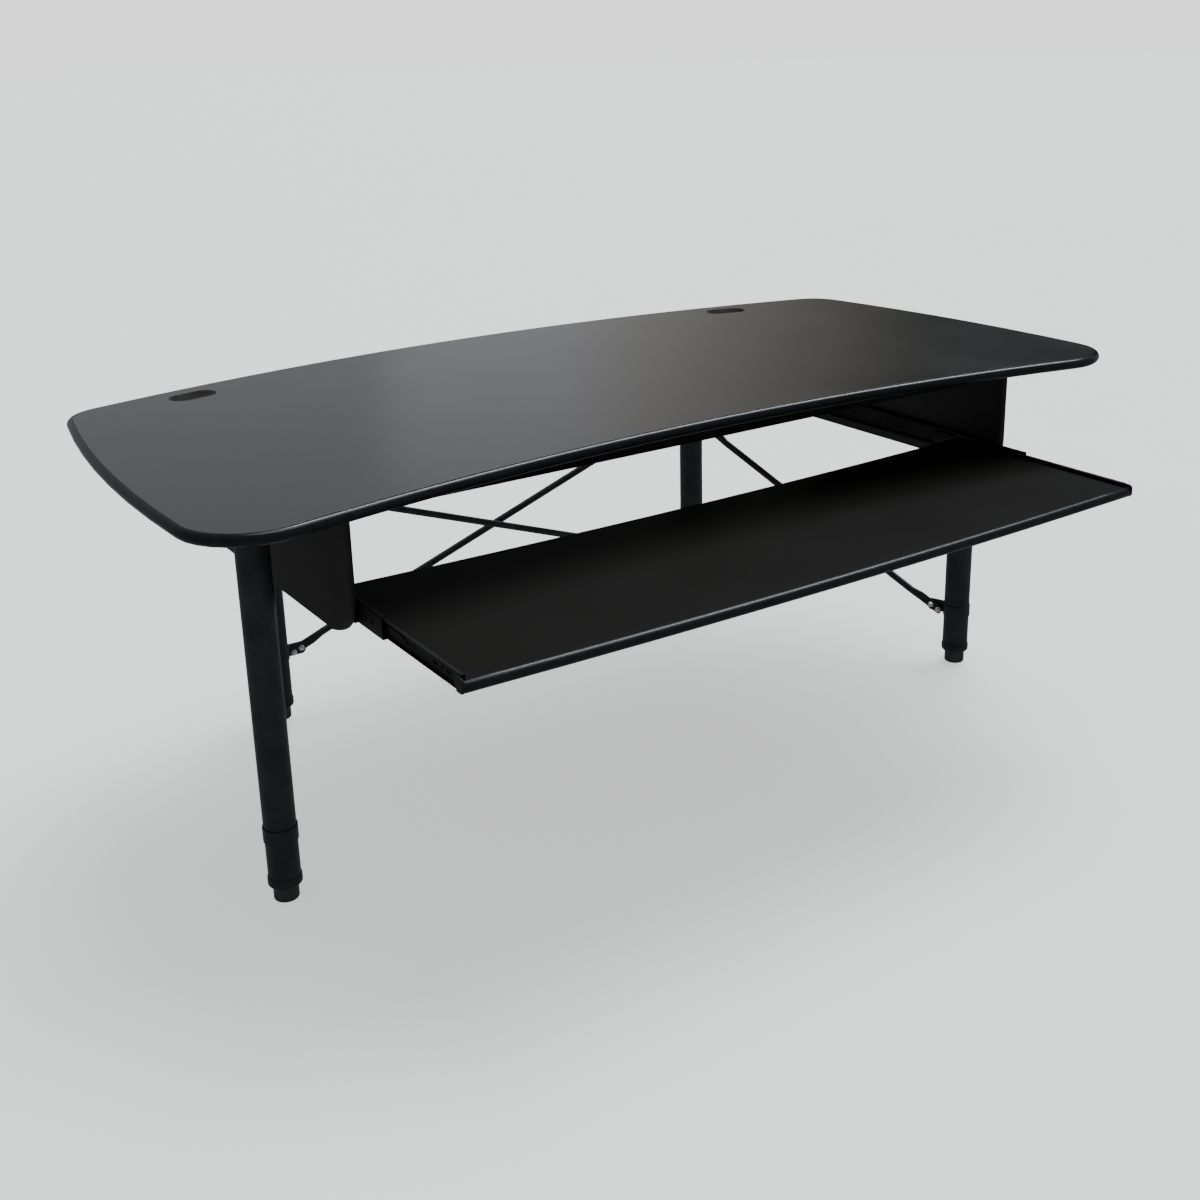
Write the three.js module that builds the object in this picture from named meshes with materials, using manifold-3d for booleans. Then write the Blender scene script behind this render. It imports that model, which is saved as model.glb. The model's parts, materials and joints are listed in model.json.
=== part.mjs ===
// Computer desk with a pull-out keyboard tray.
// A wide bow-shaped top stands on four round legs. The rear legs are set further in than the front
// legs, two crossed rods brace the rear pair and one rod braces each side. Two side panels hang
// from the top and carry a wide tray on three-member telescopic slides, here drawn part way out.
// Millimetres, +Z up, +X to the sitter's right, -Y towards the sitter.
// The floor is at z = 0, and the origin is the middle of the footprint.

import * as THREE from "three";
import { mergeVertices } from "three/addons/utils/BufferGeometryUtils.js";
import Module from "manifold-3d";

const wasm = await Module();
wasm.setup();

// ---- driving dimensions -------------------------------------------------------------------
// Distances along Y are measured from the line through the two front legs.

const GAP = 0.3; // between touching pieces

const TOP = {
  height: 762, // floor to the writing surface
  thick: 20.6, // 19 mm board with laminate on both faces
  frontMid: -177, // front edge on the centre line, where the edge bows in towards the user's lap
  frontRadius: 3950,
  rearMid: 765.2, // rear edge on the centre line, where it bows out
  rearRadius: 3330,
  halfWidth: 1004.2, // widest at endMid
  endMid: 29,
  endRadius: 3165,
  frontCorner: 120,
  rearCorner: 95,
  edgeDepth: 11, // how far the edge moulding reaches in from the edge
};

const CABLE_SLOTS = [
  { x: -704, y: 612, turn: 14 },
  { x: 642, y: 628, turn: -14 },
];
const SLOT_LENGTH = 98;
const SLOT_WIDTH = 56;

const LEG = {
  frontX: 828.6,
  rearX: 567.1,
  rearY: 673.4,
  outerR: 28.5,
  innerR: 27,
};

const PLATE = { tubeRound: 31, armRound: 13, armReach: 55, thick: 4 };
const FERRULE = { bottom: 27.5, top: 47.5, outerR: 30.2 }; // closes the lower end of each leg tube
const FOOT = { radius: 22.3, height: 27, stemR: 8, stemTop: 92 };
const NUT = { bottom: 36.8, height: 13, acrossFlats: 24 };

const COLLAR = { height: 28, outerR: 30.4, lugReach: 70, lugThick: 5 };
const ROD = { radius: 8, flatHalfWidth: 11, flatHalfThick: 2.5, flatLength: 58, endReach: 35 };
const ROD_MEETS_LUG = 50; // distance from the leg's axis at which the heights below are given
const SIDE_ROD = { low: 125, high: 478 };
const REAR_ROD = { low: 147, high: 515 };
const LUG_OFFSET = 4; // a collar's middle stands this much above or below the rod

const PANEL = { inner: 731.2, thick: 19, front: -183, rear: 417, bottom: 524, cornerR: 65 };
const RAIL = { front: -107, deep: 25, high: 38, wall: 1.6 };
const BRACKET = { leg: 30, thick: 3, length: 60, at: [20, 310] };

const TRAY = {
  top: 572, // at its ends, where the slides hold it
  thick: 19,
  halfWidth: 717.9,
  front: -518,
  rear: -65,
  noseDepth: 10,
  noseHalfWidth: 724.7, // the nose covers the front ends of the slides
  sag: 7.8, // the long board hangs down this much at mid span
};

const END_CAP = { inner: 725, outer: 730.2, rear: -497, bottom: 553, top: 577.5, round: 8 };

const SLIDE = {
  middle: 566, // height of the slides' centre line
  sheet: 1.2,
  cageSheet: 0.6,
  outer: { high: 45.5, web: 730.9, lip: 719.7, front: -160, rear: 340 },
  mid: { high: 37.6, web: 728.1, lip: 720.2, front: -258, rear: 130 },
  inner: { high: 27.6, web: 718.2, lip: 724.6, front: -505, rear: -5 },
  outerCage: { high: 40.8, web: 729.2, lip: 721, front: -75, rear: 45 },
  innerCage: { high: 32.2, web: 726.2, lip: 720.8, front: -191, rear: -71 },
};

const centreY = (TRAY.front + TOP.rearMid) / 2; // middle of the footprint, front to rear
const topUnder = TOP.height - TOP.thick;

// ---- materials ----------------------------------------------------------------------------

const finish = (color, roughness, metalness) =>
  new THREE.MeshStandardMaterial({ color, roughness, metalness });

const laminate = finish(0x1b1a18, 0.35, 0);
const edging = finish(0x15171a, 0.3, 0);
const blackSteel = finish(0x121314, 0.4, 0.3);
const slideSteel = finish(0x17181a, 0.3, 0.6);
const ballCage = finish(0x8c8f90, 0.35, 0.9);
const zincSteel = finish(0xa9abab, 0.35, 0.9);
const rubber = finish(0x1a1a1a, 0.7, 0);

// ---- solids -------------------------------------------------------------------------------

const root = new THREE.Group();
root.position.y = -centreY;

function add(name, geometry, material, parent = root) {
  const mesh = new THREE.Mesh(geometry, material);
  mesh.name = name;
  parent.add(mesh);
  return mesh;
}

function toSolid(geometry) {
  const bare = geometry.clone();
  bare.deleteAttribute("normal");
  bare.deleteAttribute("uv");
  const merged = mergeVertices(bare, 1e-3);
  return new wasm.Manifold(
    new wasm.Mesh({
      numProp: 3,
      vertProperties: merged.attributes.position.array,
      triVerts: new Uint32Array(merged.index.array),
    }),
  );
}

function toGeometry(solid) {
  const mesh = solid.getMesh();
  const geometry = new THREE.BufferGeometry();
  geometry.setAttribute("position", new THREE.BufferAttribute(mesh.vertProperties, 3));
  geometry.setIndex(new THREE.BufferAttribute(mesh.triVerts, 1));
  return geometry;
}

const joined = (a, b) => toGeometry(toSolid(a).add(toSolid(b)));
const cutBy = (a, b) => toGeometry(toSolid(a).subtract(toSolid(b)));

function shapeOf(points) {
  return new THREE.Shape(points.map(([x, y]) => new THREE.Vector2(x, y)));
}

// A flat shape made thick upwards, from one height to another.
function upright(shape, z0, z1, curveSegments = 12) {
  const made = new THREE.ExtrudeGeometry(shape, {
    depth: z1 - z0,
    bevelEnabled: false,
    curveSegments,
  });
  return made.translate(0, 0, z0);
}

// A section in X and Z, made long in Y.
function alongY(shape, y0, y1) {
  return upright(shape, 0, y1 - y0).rotateX(Math.PI / 2).translate(0, y1, 0);
}

// A section in Y and Z, made long in X.
function alongX(shape, x0, x1) {
  const turned = new THREE.Matrix4().makeBasis(
    new THREE.Vector3(0, 1, 0),
    new THREE.Vector3(0, 0, 1),
    new THREE.Vector3(1, 0, 0),
  );
  return upright(shape, 0, x1 - x0).applyMatrix4(turned).translate(x0, 0, 0);
}

// A profile of [radius, height] points turned about the vertical axis.
function turned(profile, segments = 24) {
  const points = profile.map(([r, z]) => new THREE.Vector2(r, z));
  return new THREE.LatheGeometry(points, segments).rotateX(Math.PI / 2);
}

function ring(innerR, outerR, z0, z1, segments = 24) {
  const profile = [[innerR, z0], [outerR, z0], [outerR, z1], [innerR, z1], [innerR, z0]];
  return turned(profile, segments);
}

// A solid through a stack of closed loops that all have the same number of points. The first and
// last loops are filled in, or with closed set, the last loop joins the first.
function lofted(loops, closed = false) {
  const n = loops[0].length;
  const positions = loops.flat().flatMap((p) => [p.x, p.y, p.z]);
  const faces = [];
  const steps = closed ? loops.length : loops.length - 1;
  for (let k = 0; k < steps; k++) {
    const a = k * n;
    const b = ((k + 1) % loops.length) * n;
    for (let i = 0; i < n; i++) {
      const j = (i + 1) % n;
      faces.push(a + i, a + j, b + j, a + i, b + j, b + i);
    }
  }
  if (!closed) {
    const last = (loops.length - 1) * n;
    for (let i = 1; i < n - 1; i++) {
      faces.push(0, i + 1, i);
      faces.push(last, last + i, last + i + 1);
    }
  }
  const geometry = new THREE.BufferGeometry();
  geometry.setAttribute("position", new THREE.Float32BufferAttribute(positions, 3));
  geometry.setIndex(faces);
  return geometry;
}

// ---- tabletop -----------------------------------------------------------------------------

// Where two circles meet, on the side given by sign.
function circlesMeet(a, ra, b, rb, sign) {
  const between = b.clone().sub(a);
  const d = between.length();
  const along = (ra * ra - rb * rb + d * d) / (2 * d);
  const aside = Math.sqrt(ra * ra - along * along);
  const unit = between.divideScalar(d);
  return a
    .clone()
    .addScaledVector(unit, along)
    .add(new THREE.Vector2(-unit.y, unit.x).multiplyScalar(sign * aside));
}

// The outline is one arc for each edge, with a round corner between each pair. Every arc keeps its
// centre when the outline is drawn further in, so the board and its moulding follow one another.
const frontCentre = new THREE.Vector2(0, TOP.frontMid - TOP.frontRadius);
const rearCentre = new THREE.Vector2(0, TOP.rearMid - TOP.rearRadius);
const endCentre = new THREE.Vector2(TOP.halfWidth - TOP.endRadius, TOP.endMid);
const frontCorner = circlesMeet(
  frontCentre, TOP.frontRadius + TOP.frontCorner, endCentre, TOP.endRadius - TOP.frontCorner, -1,
);
const rearCorner = circlesMeet(
  rearCentre, TOP.rearRadius - TOP.rearCorner, endCentre, TOP.endRadius - TOP.rearCorner, -1,
);

const heading = (from, to) => Math.atan2(to.y - from.y, to.x - from.x);

// The right half of the outline, from the middle of the front edge round to the middle of the rear.
function halfOutline(inset) {
  const points = [];
  function arc(centre, radius, from, to, steps) {
    for (let i = 0; i <= steps; i++) {
      const t = from + ((to - from) * i) / steps;
      points.push([centre.x + radius * Math.cos(t), centre.y + radius * Math.sin(t)]);
    }
  }
  const frontTurn = heading(frontCentre, frontCorner);
  const endLow = heading(endCentre, frontCorner);
  const endHigh = heading(endCentre, rearCorner);
  const rearTurn = heading(rearCentre, rearCorner);
  const quarter = Math.PI / 2;
  arc(frontCentre, TOP.frontRadius + inset, quarter, frontTurn, 10);
  arc(frontCorner, TOP.frontCorner - inset, frontTurn - Math.PI, endLow, 8);
  arc(endCentre, TOP.endRadius - inset, endLow, endHigh, 7);
  arc(rearCorner, TOP.rearCorner - inset, endHigh, rearTurn, 8);
  arc(rearCentre, TOP.rearRadius - inset, rearTurn, quarter, 10);
  return points.filter(([x, y], i) => {
    const before = points[i - 1];
    return !before || Math.hypot(x - before[0], y - before[1]) > 1;
  });
}

function topOutline(inset) {
  const right = halfOutline(inset);
  const left = right.slice(1, -1).reverse().map(([x, y]) => [-x, y]);
  return [...right, ...left];
}

function obround(length, width) {
  const half = (length - width) / 2;
  const shape = new THREE.Shape();
  shape.absarc(half, 0, width / 2, -Math.PI / 2, Math.PI / 2);
  shape.absarc(-half, 0, width / 2, Math.PI / 2, (3 * Math.PI) / 2);
  return shape;
}

function tabletopBoard() {
  const inset = TOP.edgeDepth + GAP;
  let board = upright(shapeOf(topOutline(inset)), topUnder, TOP.height);
  for (const slot of CABLE_SLOTS) {
    const hole = upright(obround(SLOT_LENGTH, SLOT_WIDTH), topUnder - 10, TOP.height + 10, 10);
    hole.rotateZ(THREE.MathUtils.degToRad(slot.turn)).translate(slot.x, slot.y, 0);
    board = cutBy(board, hole);
  }
  return board;
}

// The half-round profile of an edge: [distance in from the edge, height above its middle].
function nosing(radius, depth, steps) {
  const profile = [];
  for (let i = 0; i <= steps; i++) {
    const t = -Math.PI / 2 + (Math.PI * i) / steps;
    profile.push([radius - radius * Math.cos(t), radius * Math.sin(t)]);
  }
  return [[depth, -radius], ...profile, [depth, radius]];
}

function tabletopEdge() {
  const middle = TOP.height - TOP.thick / 2;
  const loops = nosing(TOP.thick / 2, TOP.edgeDepth, 6).map(([inset, rise]) =>
    topOutline(inset).map(([x, y]) => new THREE.Vector3(x, y, middle + rise)),
  );
  return lofted(loops, true);
}

add("tabletop_board", tabletopBoard(), laminate);
add("tabletop_edge", tabletopEdge(), edging);

// ---- side panels --------------------------------------------------------------------------

// Right panel: a board whose front edge and lower front corner are rounded over, with square rear,
// top and bottom edges. Each loop is one slice of the board's thickness.
function sidePanel() {
  const half = PANEL.thick / 2;
  const cornerY = PANEL.front + PANEL.cornerR;
  const cornerZ = PANEL.bottom + PANEL.cornerR;
  const top = topUnder - GAP;
  const slices = 8;
  const turns = 8;
  const loops = [];
  for (let k = 0; k <= slices; k++) {
    const across = -Math.cos((Math.PI * k) / slices) * half;
    const round = half - Math.sqrt(half * half - across * across);
    const x = PANEL.inner + half + across;
    const loop = [new THREE.Vector3(x, PANEL.rear, top)];
    loop.push(new THREE.Vector3(x, PANEL.front + round, top));
    for (let i = 0; i <= turns; i++) {
      const t = Math.PI + ((Math.PI / 2) * i) / turns;
      const fade = 1 - (i / turns) ** 2; // the rounding runs out where the corner meets the bottom
      const r = PANEL.cornerR - round * fade;
      loop.push(new THREE.Vector3(x, cornerY + r * Math.cos(t), cornerZ + r * Math.sin(t)));
    }
    loop.push(new THREE.Vector3(x, PANEL.rear, PANEL.bottom));
    loops.push(loop);
  }
  return lofted(loops);
}

// An angle bracket in the corner between a panel's inner face and the underside of the top.
function panelBracket(y0) {
  const x = PANEL.inner - GAP;
  const z = topUnder - GAP;
  const { leg, thick, length } = BRACKET;
  const section = shapeOf([
    [x, z], [x - leg, z], [x - leg, z - thick], [x - thick, z - thick], [x - thick, z - leg],
    [x, z - leg],
  ]);
  return alongY(section, y0, y0 + length);
}

// ---- slides -------------------------------------------------------------------------------

// A channel section with its web at one X and its two flanges reaching to another.
function channel({ high, web, lip, front, rear }, sheet) {
  const towards = Math.sign(lip - web);
  const inside = web + towards * sheet;
  const half = high / 2;
  const z = SLIDE.middle;
  const section = [
    [web, z - half], [lip, z - half], [lip, z - half + sheet], [inside, z - half + sheet],
    [inside, z + half - sheet], [lip, z + half - sheet], [lip, z + half], [web, z + half],
  ];
  return alongY(shapeOf(towards > 0 ? section : section.reverse()), front, rear);
}

const sideParts = [
  ["side_panel", sidePanel(), laminate],
  ["panel_bracket_front", panelBracket(BRACKET.at[0]), blackSteel],
  ["panel_bracket_rear", panelBracket(BRACKET.at[1]), blackSteel],
  ["slide_outer", channel(SLIDE.outer, SLIDE.sheet), slideSteel],
  ["slide_middle", channel(SLIDE.mid, SLIDE.sheet), slideSteel],
  ["slide_inner", channel(SLIDE.inner, SLIDE.sheet), slideSteel],
  ["ball_cage_outer", channel(SLIDE.outerCage, SLIDE.cageSheet), ballCage],
  ["ball_cage_inner", channel(SLIDE.innerCage, SLIDE.cageSheet), ballCage],
];
for (const [side, sign] of [["left", -1], ["right", 1]]) {
  for (const [name, geometry, material] of sideParts) {
    add(`${name}_${side}`, geometry.clone(), material).scale.x = sign;
  }
}

// ---- stiffening rail ----------------------------------------------------------------------

// A rectangular tube under the front of the top, from panel to panel.
function frontRail() {
  const z1 = topUnder - GAP;
  const z0 = z1 - RAIL.high;
  const y1 = RAIL.front + RAIL.deep;
  const rectangle = (m) => [
    [RAIL.front + m, z0 + m], [y1 - m, z0 + m], [y1 - m, z1 - m], [RAIL.front + m, z1 - m],
  ];
  const section = shapeOf(rectangle(0));
  section.holes.push(shapeOf(rectangle(RAIL.wall)));
  const end = PANEL.inner - GAP;
  return alongX(section, -end, end);
}

add("front_rail", frontRail(), blackSteel);

// ---- keyboard tray ------------------------------------------------------------------------

const sagAt = (x) => TRAY.sag * Math.max(0, 1 - (x / TRAY.halfWidth) ** 2);

// Slices of a section in Y and Z, laid side by side along X and let down by the sag.
function saggingBar(section, halfWidth, stations) {
  const loops = [];
  for (let i = 0; i <= stations; i++) {
    const x = -halfWidth + (2 * halfWidth * i) / stations;
    loops.push(section.map(([y, z]) => new THREE.Vector3(x, y, z - sagAt(x))));
  }
  return lofted(loops);
}

function trayBoard() {
  const y0 = TRAY.front + TRAY.noseDepth + GAP;
  const z0 = TRAY.top - TRAY.thick;
  const section = [[y0, z0], [TRAY.rear, z0], [TRAY.rear, TRAY.top], [y0, TRAY.top]];
  return saggingBar(section, TRAY.halfWidth, 20);
}

function trayNose() {
  const middle = TRAY.top - TRAY.thick / 2;
  const profile = nosing(TRAY.thick / 2, TRAY.noseDepth, 6);
  const section = profile.map(([inset, rise]) => [TRAY.front + inset, middle + rise]).reverse();
  return saggingBar(section, TRAY.noseHalfWidth, 20);
}

// A moulded cap that closes the right-hand end of the nose and hides the front end of the slide.
function trayEndCap() {
  const { inner, outer, rear, bottom, top, round } = END_CAP;
  const shape = new THREE.Shape();
  shape.moveTo(rear, bottom);
  shape.lineTo(rear, top);
  shape.absarc(TRAY.front + round, top - round, round, Math.PI / 2, Math.PI);
  shape.absarc(TRAY.front + round, bottom + round, round, Math.PI, (3 * Math.PI) / 2);
  return alongX(shape, inner, outer);
}

add("tray_board", trayBoard(), laminate);
add("tray_nose", trayNose(), edging);
add("tray_end_cap_left", trayEndCap(), rubber).scale.x = -1;
add("tray_end_cap_right", trayEndCap(), rubber);

// ---- legs ---------------------------------------------------------------------------------

// A plate welded over the top of the tube: a rounded triangle whose two arms reach in under the top
// along +X and +Y.
function mountingPlate() {
  const { tubeRound, armRound, armReach, thick } = PLATE;
  const quarter = Math.PI / 2;
  const side = Math.acos((tubeRound - armRound) / armReach);
  const outline = new THREE.Shape();
  outline.absarc(0, 0, tubeRound, quarter + side, 2 * Math.PI - side);
  outline.absarc(armReach, 0, armRound, -side, quarter / 2);
  outline.absarc(0, armReach, armRound, quarter / 2, quarter + side);
  const z1 = topUnder - GAP;
  return upright(outline, z1 - thick, z1, 7);
}

// A cup over the end of the tube, with a hole in its floor for the foot's stem.
function ferrule() {
  const { bottom, top, outerR } = FERRULE;
  const bore = FOOT.stemR + 0.4;
  const overTube = LEG.outerR + GAP;
  const floor = NUT.bottom - 2 * GAP;
  return turned([
    [bore, bottom], [outerR - 4.5, bottom], [outerR, bottom + 5], [outerR, top - 3],
    [overTube + 0.6, top], [overTube, top], [overTube, floor], [bore, floor], [bore, bottom],
  ]);
}

function footNut() {
  const hex = new THREE.CylinderGeometry(
    NUT.acrossFlats / Math.sqrt(3), NUT.acrossFlats / Math.sqrt(3), NUT.height, 6,
  );
  hex.rotateX(Math.PI / 2).translate(0, 0, NUT.bottom + NUT.height / 2);
  const bore = new THREE.CylinderGeometry(FOOT.stemR + 0.4, FOOT.stemR + 0.4, 4 * NUT.height, 20);
  bore.rotateX(Math.PI / 2).translate(0, 0, NUT.bottom);
  return cutBy(hex, bore);
}

// A levelling foot: a round pad with a soft lower edge, and the stem that screws up into the leg.
function levellingFoot() {
  const { radius, height, stemR, stemTop } = FOOT;
  return turned([
    [0, 0], [radius - 5, 0], [radius - 1.5, 1.8], [radius, 6], [radius, height - 1.5],
    [radius - 1.5, height], [stemR, height], [stemR, stemTop - 2], [stemR - 2, stemTop],
    [0, stemTop],
  ], 24);
}

// A band round the leg with one flat lug that a brace rod is bolted to, at the origin, lug to +X.
function collar() {
  const half = COLLAR.height / 2;
  const band = ring(LEG.outerR + GAP, COLLAR.outerR, -half, half, 28);
  const start = LEG.outerR + 1;
  const round = 6;
  const lug = shapeOf([
    [start, -half], [COLLAR.lugReach - round, -half], [COLLAR.lugReach, round - half],
    [COLLAR.lugReach, half - round], [COLLAR.lugReach - round, half], [start, half],
  ]);
  const plate = upright(lug, -COLLAR.lugThick / 2, COLLAR.lugThick / 2).rotateX(Math.PI / 2);
  return joined(band, plate);
}

// Each leg's place, and the turn that points its plate's arms in under the top, clear of the slots.
const LEGS = {
  front_left: [-LEG.frontX, 0, 0],
  front_right: [LEG.frontX, 0, 90],
  rear_left: [-LEG.rearX, LEG.rearY, -90],
  rear_right: [LEG.rearX, LEG.rearY, 180],
};

for (const [where, [x, y, plateTurn]] of Object.entries(LEGS)) {
  const leg = new THREE.Group();
  leg.position.set(x, y, 0);
  root.add(leg);
  const tubeTop = topUnder - PLATE.thick - 2 * GAP;
  const plate = add(`leg_plate_${where}`, mountingPlate(), blackSteel, leg);
  plate.rotation.z = THREE.MathUtils.degToRad(plateTurn);
  add(`leg_tube_${where}`, ring(LEG.innerR, LEG.outerR, NUT.bottom - GAP, tubeTop, 28), blackSteel, leg);
  add(`leg_ferrule_${where}`, ferrule(), blackSteel, leg);
  add(`foot_nut_${where}`, footNut(), zincSteel, leg);
  add(`levelling_foot_${where}`, levellingFoot(), rubber, leg);
}

// ---- braces -------------------------------------------------------------------------------

// A round tube of the given length along +X, flattened at both ends. The flat ends lie in the XZ
// plane at y = 0 and the round body stands off to one side, so that crossed rods pass each other.
function braceRod(length, side) {
  const { radius, flatHalfWidth, flatHalfThick, flatLength } = ROD;
  const bodyShift = side * (radius - flatHalfThick);
  const tip = { width: 0.6 * flatHalfWidth, thick: flatHalfThick, shift: 0 };
  const flat = { width: flatHalfWidth, thick: flatHalfThick, shift: 0 };
  const body = { width: radius, thick: radius, shift: bodyShift };
  const run = 26; // the length over which the tube goes from flat to round
  const stations = [
    [0, tip], [4, flat], [flatLength, flat], [flatLength + run, body],
    [length - flatLength - run, body], [length - flatLength, flat], [length - 4, flat],
    [length, tip],
  ];
  const sides = 14;
  const loops = stations.map(([along, { width, thick, shift }]) => {
    const loop = [];
    for (let i = 0; i < sides; i++) {
      const t = (2 * Math.PI * (i + 0.5)) / sides;
      const squareness = thick < radius ? 0.45 : 1; // a flattened tube has straight sides
      const c = Math.sign(Math.cos(t)) * Math.abs(Math.cos(t)) ** squareness;
      const s = Math.sin(t);
      loop.push(new THREE.Vector3(along, shift + thick * c, width * s));
    }
    return loop;
  });
  return lofted(loops);
}

// One rod with its two collars, from low on one leg to high on another. The rod lies on the side of
// its lugs that side names: 1 is to the left of the direction from the low end to the high end.
function brace(name, lowLeg, highLeg, { low, high }, side) {
  const [x0, y0] = LEGS[lowLeg];
  const [x1, y1] = LEGS[highLeg];
  const turn = Math.atan2(y1 - y0, x1 - x0);
  const span = Math.hypot(x1 - x0, y1 - y0);
  const slope = Math.atan2(high - low, span - 2 * ROD_MEETS_LUG);

  const lowCollar = add(`collar_low_${name}`, collar(), blackSteel);
  lowCollar.position.set(x0, y0, low + LUG_OFFSET);
  lowCollar.rotation.z = turn;

  const highCollar = add(`collar_high_${name}`, collar(), blackSteel);
  highCollar.position.set(x1, y1, high + LUG_OFFSET);
  highCollar.rotation.z = turn + Math.PI;

  const plane = new THREE.Group();
  plane.position.set(x0, y0, 0);
  plane.rotation.z = turn;
  root.add(plane);
  const back = ROD_MEETS_LUG - ROD.endReach;
  const rodLength = (span - 2 * ROD.endReach) / Math.cos(slope);
  const rod = add(`rod_${name}`, braceRod(rodLength, side), blackSteel, plane);
  const offLug = COLLAR.lugThick / 2 + GAP + ROD.flatHalfThick;
  rod.position.set(ROD.endReach, side * offLug, low - back * Math.tan(slope));
  rod.rotation.y = -slope;
}

brace("left", "front_left", "rear_left", SIDE_ROD, -1);
brace("right", "front_right", "rear_right", SIDE_ROD, 1);
brace("rear_a", "rear_left", "rear_right", REAR_ROD, 1);
brace("rear_b", "rear_right", "rear_left", REAR_ROD, 1);

export default root;
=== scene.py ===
import json
import math

import bpy
from mathutils import Matrix, Vector

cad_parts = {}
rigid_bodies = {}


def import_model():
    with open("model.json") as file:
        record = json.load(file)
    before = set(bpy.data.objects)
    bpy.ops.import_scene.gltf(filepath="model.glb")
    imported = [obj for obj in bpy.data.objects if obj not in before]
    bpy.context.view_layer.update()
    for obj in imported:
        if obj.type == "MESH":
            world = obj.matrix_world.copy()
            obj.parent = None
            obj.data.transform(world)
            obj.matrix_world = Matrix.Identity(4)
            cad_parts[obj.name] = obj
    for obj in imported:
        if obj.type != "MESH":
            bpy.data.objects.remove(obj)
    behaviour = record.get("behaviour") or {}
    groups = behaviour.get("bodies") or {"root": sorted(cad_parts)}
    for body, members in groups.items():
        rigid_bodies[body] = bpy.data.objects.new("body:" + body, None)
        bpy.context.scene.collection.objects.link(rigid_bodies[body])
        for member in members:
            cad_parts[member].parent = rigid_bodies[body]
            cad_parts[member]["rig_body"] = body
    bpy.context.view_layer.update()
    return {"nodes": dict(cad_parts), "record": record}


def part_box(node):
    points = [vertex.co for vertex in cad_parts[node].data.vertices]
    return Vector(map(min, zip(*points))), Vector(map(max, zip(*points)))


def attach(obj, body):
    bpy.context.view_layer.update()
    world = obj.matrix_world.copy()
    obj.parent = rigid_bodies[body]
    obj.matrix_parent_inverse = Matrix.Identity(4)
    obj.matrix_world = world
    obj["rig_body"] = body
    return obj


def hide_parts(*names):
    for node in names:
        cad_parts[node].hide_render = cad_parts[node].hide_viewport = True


# A bow-shaped computer desk on round legs, with a wide keyboard tray on ball-bearing slides.
# Metres, +Z up, +X to the sitter's right, -Y towards the sitter. Places come from the solids,
# and slides are made for the right side, then mirrored.

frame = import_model()

MM = 0.001
SIDES = ("left", "right")
LEGS = ("front_left", "front_right", "rear_left", "rear_right")
BRACES = {  # each brace runs from low on one leg to high on another
    "left": ("front_left", "rear_left"),
    "right": ("front_right", "rear_right"),
    "rear_a": ("rear_left", "rear_right"),
    "rear_b": ("rear_right", "rear_left"),
}
DOWN, UP = Vector((0, 0, -1)), Vector((0, 0, 1))
BOLTS_FACE = Vector((-0.53, -0.79, 0))  # heads of the brace bolts show at the front left
STRIP = 1.2 * MM  # thickness of the steel the slides are folded from
FLAT = 0.01 * MM  # points closer than this are at the same height


# ---- camera and light ----------------------------------------------------------------------


def set_camera():
    turn = [math.radians(a) for a in (72.655, 1.190, -34.455)]
    bpy.ops.object.camera_add(location=(-1.58395, -2.304, 1.43833), rotation=turn)
    camera = bpy.context.object
    camera.data.lens = 43.93
    camera.data.sensor_width = 36
    camera.data.shift_x = -0.01647
    camera.data.shift_y = -0.09731
    bpy.context.scene.camera = camera


def far_light(name, tilt_x, tilt_y, energy, angle, colour):
    """A distant light overhead, tilted about X and then Y by degrees, and so many degrees wide."""
    turn = (math.radians(tilt_x), math.radians(tilt_y), 0)
    bpy.ops.object.light_add(type="SUN", rotation=turn)
    light = bpy.context.object
    light.name = name
    light.data.energy = energy
    light.data.angle = math.radians(angle)
    light.data.color = colour
    return light


def set_lights():
    """A broad ceiling light a little to the right, in a dim room."""
    far_light("ceiling_light", -8, 24, 5.6, 46, (0.95, 0.98, 1.0))
    # A row of narrow lamps to the right draws a crisp line along each rounded edge.
    for tilt_x, tilt_y in ((-21.5, 26), (-17.5, 31), (-13.5, 36), (-9, 41)):
        lamp = far_light("edge_lamp", tilt_x, tilt_y, 0.8, 7, (0.86, 0.94, 1.0))
        lamp.visible_diffuse = False

    # The room itself is dim, and a little dimmer below the horizon.
    world = bpy.data.worlds.new("pale_room")
    world.use_nodes = True
    nodes, links = world.node_tree.nodes, world.node_tree.links
    direction = nodes.new("ShaderNodeTexCoord")
    height = nodes.new("ShaderNodeSeparateXYZ")
    shade = nodes.new("ShaderNodeMapRange")
    limits = {"From Min": -0.04, "From Max": 0.06, "To Min": 0.35, "To Max": 0.44}
    for key, number in limits.items():
        shade.inputs[key].default_value = number
    nodes["Background"].inputs["Color"].default_value = (0.98, 0.985, 1.04, 1)
    links.new(direction.outputs["Generated"], height.inputs["Vector"])
    links.new(height.outputs["Z"], shade.inputs["Value"])
    links.new(shade.outputs["Result"], nodes["Background"].inputs["Strength"])
    bpy.context.scene.world = world


# ---- hand tools ----------------------------------------------------------------------------


def pick(*objects):
    bpy.ops.object.select_all(action="DESELECT")
    for o in objects:
        o.select_set(True)
    bpy.context.view_layer.objects.active = objects[0]


def edit_all(o):
    pick(o)
    bpy.ops.object.mode_set(mode="EDIT")
    bpy.ops.mesh.select_all(action="SELECT")


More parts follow.
